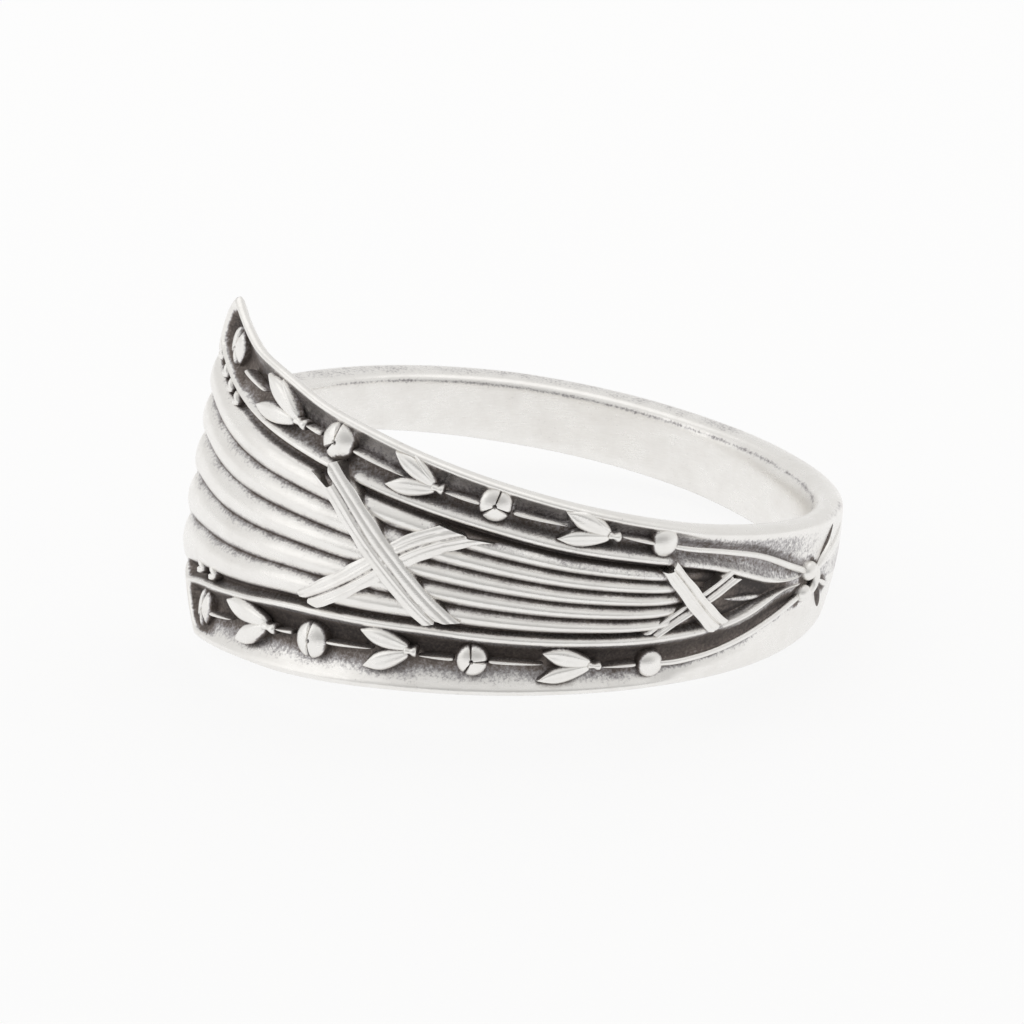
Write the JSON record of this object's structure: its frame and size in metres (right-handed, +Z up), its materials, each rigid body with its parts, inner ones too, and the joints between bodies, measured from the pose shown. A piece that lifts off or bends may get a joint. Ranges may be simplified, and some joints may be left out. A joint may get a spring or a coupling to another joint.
{
  "type": "spoon ring",
  "caption": "Finger ring bent from a spoon handle: wide reeded end with crossed ribbons, beads and husks in relief, tapering to a plain narrow stem.",
  "frame": {"origin": "on the surface the ring lies on, under the middle of its bounding box", "axes": "+Z up from the surface, decorated front towards -Y, wide end towards -X; the ring lies tilted as it rests"},
  "size_m": [0.0196, 0.0202, 0.0102],
  "materials": {
    "silver": "worn sterling silver with dark patina in the relief"
  },
  "bodies": {
    "root": {"ring_band": "silver"}
  },
  "joints": []
}
